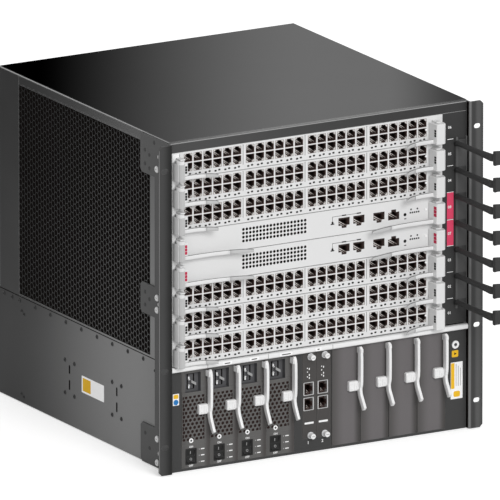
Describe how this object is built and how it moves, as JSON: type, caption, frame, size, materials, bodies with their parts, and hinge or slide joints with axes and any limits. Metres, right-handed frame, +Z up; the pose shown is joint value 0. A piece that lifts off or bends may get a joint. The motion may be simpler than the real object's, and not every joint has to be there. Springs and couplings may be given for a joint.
{
  "type": "modular chassis switch",
  "caption": "Rack-mounted modular network switch chassis with slide-in port cards on ejector levers, a row of power modules, side rack ears, a cable comb and pull-out rear fan trays.",
  "frame": {"origin": "middle of the chassis's underside", "axes": "+X to the right seen from the front, +Y towards the rear, +Z up"},
  "size_m": [0.4826, 0.594, 0.4416],
  "materials": {
    "chassis_paint": "fine textured dark paint",
    "bare_steel": "plated sheet",
    "card_steel": "satin light grey",
    "lever_plastic": "satin light grey",
    "module_paint": "satin dark grey",
    "board_paint": "satin dark grey",
    "power_lever": "satin light grey",
    "rocker_plastic": "satin black",
    "rail_metal": "satin",
    "board": "green lacquer",
    "comb_plastic": "moulded black",
    "jack_metal": "plated",
    "screws": "zinc plated",
    "fan_steel": "satin light grey"
  },
  "bodies": {
    "chassis": {"lower_pan": "chassis_paint", "left_side_panel": "chassis_paint", "right_side_panel": "chassis_paint", "top_cover": "chassis_paint", "rear_frame": "chassis_paint", "card_cage": "bare_steel", "backplane": "board", "front_bezel": "chassis_paint", "front_frame": "chassis_paint", "jack_plate": "chassis_paint", "label_rail": "rail_metal", "left_ear": "chassis_paint", "right_ear": "chassis_paint", "cable_comb": "comb_plastic", "esd_jack": "jack_metal", "ear_screws": "screws"},
    "line_card_1": {"line_card_1": "card_steel"},
    "line_card_1_left_lever": {"line_card_1_left_lever": "lever_plastic"},
    "line_card_1_right_lever": {"line_card_1_right_lever": "lever_plastic"},
    "line_card_2": {"line_card_2": "card_steel"},
    "line_card_2_left_lever": {"line_card_2_left_lever": "lever_plastic"},
    "line_card_2_right_lever": {"line_card_2_right_lever": "lever_plastic"},
    "line_card_3": {"line_card_3": "card_steel"},
    "line_card_3_left_lever": {"line_card_3_left_lever": "lever_plastic"},
    "line_card_3_right_lever": {"line_card_3_right_lever": "lever_plastic"},
    "control_card_1": {"control_card_1": "card_steel"},
    "control_card_1_left_lever": {"control_card_1_left_lever": "lever_plastic"},
    "control_card_1_right_lever": {"control_card_1_right_lever": "lever_plastic"},
    "control_card_2": {"control_card_2": "card_steel"},
    "control_card_2_left_lever": {"control_card_2_left_lever": "lever_plastic"},
    "control_card_2_right_lever": {"control_card_2_right_lever": "lever_plastic"},
    "line_card_4": {"line_card_4": "card_steel"},
    "line_card_4_left_lever": {"line_card_4_left_lever": "lever_plastic"},
    "line_card_4_right_lever": {"line_card_4_right_lever": "lever_plastic"},
    "line_card_5": {"line_card_5": "card_steel"},
    "line_card_5_left_lever": {"line_card_5_left_lever": "lever_plastic"},
    "line_card_5_right_lever": {"line_card_5_right_lever": "lever_plastic"},
    "line_card_6": {"line_card_6": "card_steel"},
    "line_card_6_left_lever": {"line_card_6_left_lever": "lever_plastic"},
    "line_card_6_right_lever": {"line_card_6_right_lever": "lever_plastic"},
    "power_module_1": {"power_module_1": "module_paint"},
    "power_module_1_lever": {"power_module_1_lever": "power_lever"},
    "power_module_1_rocker": {"power_module_1_rocker": "rocker_plastic"},
    "power_module_2": {"power_module_2": "module_paint"},
    "power_module_2_lever": {"power_module_2_lever": "power_lever"},
    "power_module_2_rocker": {"power_module_2_rocker": "rocker_plastic"},
    "power_module_3": {"power_module_3": "module_paint"},
    "power_module_3_lever": {"power_module_3_lever": "power_lever"},
    "power_module_3_rocker": {"power_module_3_rocker": "rocker_plastic"},
    "power_module_4": {"power_module_4": "module_paint"},
    "power_module_4_lever": {"power_module_4_lever": "power_lever"},
    "power_module_4_rocker": {"power_module_4_rocker": "rocker_plastic"},
    "monitor_board_1": {"monitor_board_1": "board_paint"},
    "monitor_board_2": {"monitor_board_2": "board_paint"},
    "filler_module_1": {"filler_module_1": "module_paint"},
    "filler_module_2": {"filler_module_2": "module_paint"},
    "filler_module_3": {"filler_module_3": "module_paint"},
    "filler_module_4": {"filler_module_4": "module_paint"},
    "left_fan_module": {"left_fan_module": "fan_steel"},
    "right_fan_module": {"right_fan_module": "fan_steel"}
  },
  "joints": [
    {"name": "line_card_1_slide", "type": "slide", "parent": "chassis", "child": "line_card_1", "axis": [0, -1, 0], "range_m": [0, 0.33]},
    {"name": "line_card_1_left_lever_hinge", "type": "hinge", "parent": "line_card_1", "child": "line_card_1_left_lever", "pos_m": [-0.2085, -0.2337, 0.142], "axis": [0, 0, -1], "range_deg": [0, 70]},
    {"name": "line_card_1_right_lever_hinge", "type": "hinge", "parent": "line_card_1", "child": "line_card_1_right_lever", "pos_m": [0.1724, -0.2337, 0.142], "axis": [0, 0, 1], "range_deg": [0, 70]},
    {"name": "line_card_2_slide", "type": "slide", "parent": "chassis", "child": "line_card_2", "axis": [0, -1, 0], "range_m": [0, 0.33]},
    {"name": "line_card_2_left_lever_hinge", "type": "hinge", "parent": "line_card_2", "child": "line_card_2_left_lever", "pos_m": [-0.2085, -0.2337, 0.17756], "axis": [0, 0, -1], "range_deg": [0, 70]},
    {"name": "line_card_2_right_lever_hinge", "type": "hinge", "parent": "line_card_2", "child": "line_card_2_right_lever", "pos_m": [0.1724, -0.2337, 0.17756], "axis": [0, 0, 1], "range_deg": [0, 70]},
    {"name": "line_card_3_slide", "type": "slide", "parent": "chassis", "child": "line_card_3", "axis": [0, -1, 0], "range_m": [0, 0.33]},
    {"name": "line_card_3_left_lever_hinge", "type": "hinge", "parent": "line_card_3", "child": "line_card_3_left_lever", "pos_m": [-0.2085, -0.2337, 0.21312], "axis": [0, 0, -1], "range_deg": [0, 70]},
    {"name": "line_card_3_right_lever_hinge", "type": "hinge", "parent": "line_card_3", "child": "line_card_3_right_lever", "pos_m": [0.1724, -0.2337, 0.21312], "axis": [0, 0, 1], "range_deg": [0, 70]},
    {"name": "control_card_1_slide", "type": "slide", "parent": "chassis", "child": "control_card_1", "axis": [0, -1, 0], "range_m": [0, 0.33]},
    {"name": "control_card_1_left_lever_hinge", "type": "hinge", "parent": "control_card_1", "child": "control_card_1_left_lever", "pos_m": [-0.2085, -0.2337, 0.24868], "axis": [0, 0, -1], "range_deg": [0, 70]},
    {"name": "control_card_1_right_lever_hinge", "type": "hinge", "parent": "control_card_1", "child": "control_card_1_right_lever", "pos_m": [0.1724, -0.2337, 0.24868], "axis": [0, 0, 1], "range_deg": [0, 70]},
    {"name": "control_card_2_slide", "type": "slide", "parent": "chassis", "child": "control_card_2", "axis": [0, -1, 0], "range_m": [0, 0.33]},
    {"name": "control_card_2_left_lever_hinge", "type": "hinge", "parent": "control_card_2", "child": "control_card_2_left_lever", "pos_m": [-0.2085, -0.2337, 0.28424], "axis": [0, 0, -1], "range_deg": [0, 70]},
    {"name": "control_card_2_right_lever_hinge", "type": "hinge", "parent": "control_card_2", "child": "control_card_2_right_lever", "pos_m": [0.1724, -0.2337, 0.28424], "axis": [0, 0, 1], "range_deg": [0, 70]},
    {"name": "line_card_4_slide", "type": "slide", "parent": "chassis", "child": "line_card_4", "axis": [0, -1, 0], "range_m": [0, 0.33]},
    {"name": "line_card_4_left_lever_hinge", "type": "hinge", "parent": "line_card_4", "child": "line_card_4_left_lever", "pos_m": [-0.2085, -0.2337, 0.3198], "axis": [0, 0, -1], "range_deg": [0, 70]},
    {"name": "line_card_4_right_lever_hinge", "type": "hinge", "parent": "line_card_4", "child": "line_card_4_right_lever", "pos_m": [0.1724, -0.2337, 0.3198], "axis": [0, 0, 1], "range_deg": [0, 70]},
    {"name": "line_card_5_slide", "type": "slide", "parent": "chassis", "child": "line_card_5", "axis": [0, -1, 0], "range_m": [0, 0.33]},
    {"name": "line_card_5_left_lever_hinge", "type": "hinge", "parent": "line_card_5", "child": "line_card_5_left_lever", "pos_m": [-0.2085, -0.2337, 0.35536], "axis": [0, 0, -1], "range_deg": [0, 70]},
    {"name": "line_card_5_right_lever_hinge", "type": "hinge", "parent": "line_card_5", "child": "line_card_5_right_lever", "pos_m": [0.1724, -0.2337, 0.35536], "axis": [0, 0, 1], "range_deg": [0, 70]},
    {"name": "line_card_6_slide", "type": "slide", "parent": "chassis", "child": "line_card_6", "axis": [0, -1, 0], "range_m": [0, 0.33]},
    {"name": "line_card_6_left_lever_hinge", "type": "hinge", "parent": "line_card_6", "child": "line_card_6_left_lever", "pos_m": [-0.2085, -0.2337, 0.39092], "axis": [0, 0, -1], "range_deg": [0, 70]},
    {"name": "line_card_6_right_lever_hinge", "type": "hinge", "parent": "line_card_6", "child": "line_card_6_right_lever", "pos_m": [0.1724, -0.2337, 0.39092], "axis": [0, 0, 1], "range_deg": [0, 70]},
    {"name": "power_module_1_slide", "type": "slide", "parent": "chassis", "child": "power_module_1", "axis": [0, -1, 0], "range_m": [0, 0.3]},
    {"name": "power_module_1_lever_hinge", "type": "hinge", "parent": "power_module_1", "child": "power_module_1_lever", "pos_m": [-0.1647, -0.2312, 0.1275], "axis": [-1, 0, 0], "range_deg": [0, 80]},
    {"name": "power_module_1_rocker_pivot", "type": "hinge", "parent": "power_module_1", "child": "power_module_1_rocker", "pos_m": [-0.1897, -0.2214, 0.0186], "axis": [1, 0, 0], "range_deg": [0, 16]},
    {"name": "power_module_2_slide", "type": "slide", "parent": "chassis", "child": "power_module_2", "axis": [0, -1, 0], "range_m": [0, 0.3]},
    {"name": "power_module_2_lever_hinge", "type": "hinge", "parent": "power_module_2", "child": "power_module_2_lever", "pos_m": [-0.1229, -0.2312, 0.1275], "axis": [-1, 0, 0], "range_deg": [0, 80]},
    {"name": "power_module_2_rocker_pivot", "type": "hinge", "parent": "power_module_2", "child": "power_module_2_rocker", "pos_m": [-0.1479, -0.2214, 0.0186], "axis": [1, 0, 0], "range_deg": [0, 16]},
    {"name": "power_module_3_slide", "type": "slide", "parent": "chassis", "child": "power_module_3", "axis": [0, -1, 0], "range_m": [0, 0.3]},
    {"name": "power_module_3_lever_hinge", "type": "hinge", "parent": "power_module_3", "child": "power_module_3_lever", "pos_m": [-0.0811, -0.2312, 0.1275], "axis": [-1, 0, 0], "range_deg": [0, 80]},
    {"name": "power_module_3_rocker_pivot", "type": "hinge", "parent": "power_module_3", "child": "power_module_3_rocker", "pos_m": [-0.1061, -0.2214, 0.0186], "axis": [1, 0, 0], "range_deg": [0, 16]},
    {"name": "power_module_4_slide", "type": "slide", "parent": "chassis", "child": "power_module_4", "axis": [0, -1, 0], "range_m": [0, 0.3]},
    {"name": "power_module_4_lever_hinge", "type": "hinge", "parent": "power_module_4", "child": "power_module_4_lever", "pos_m": [-0.0393, -0.2312, 0.1275], "axis": [-1, 0, 0], "range_deg": [0, 80]},
    {"name": "power_module_4_rocker_pivot", "type": "hinge", "parent": "power_module_4", "child": "power_module_4_rocker", "pos_m": [-0.0643, -0.2214, 0.0186], "axis": [1, 0, 0], "range_deg": [0, 16]},
    {"name": "monitor_board_1_slide", "type": "slide", "parent": "chassis", "child": "monitor_board_1", "axis": [0, -1, 0], "range_m": [0, 0.15]},
    {"name": "monitor_board_2_slide", "type": "slide", "parent": "chassis", "child": "monitor_board_2", "axis": [0, -1, 0], "range_m": [0, 0.15]},
    {"name": "filler_module_1_slide", "type": "slide", "parent": "chassis", "child": "filler_module_1", "axis": [0, -1, 0], "range_m": [0, 0.026]},
    {"name": "filler_module_2_slide", "type": "slide", "parent": "chassis", "child": "filler_module_2", "axis": [0, -1, 0], "range_m": [0, 0.026]},
    {"name": "filler_module_3_slide", "type": "slide", "parent": "chassis", "child": "filler_module_3", "axis": [0, -1, 0], "range_m": [0, 0.026]},
    {"name": "filler_module_4_slide", "type": "slide", "parent": "chassis", "child": "filler_module_4", "axis": [0, -1, 0], "range_m": [0, 0.026]},
    {"name": "left_fan_module_slide", "type": "slide", "parent": "chassis", "child": "left_fan_module", "axis": [0, 1, 0], "range_m": [0, 0.09]},
    {"name": "right_fan_module_slide", "type": "slide", "parent": "chassis", "child": "right_fan_module", "axis": [0, 1, 0], "range_m": [0, 0.09]}
  ]
}
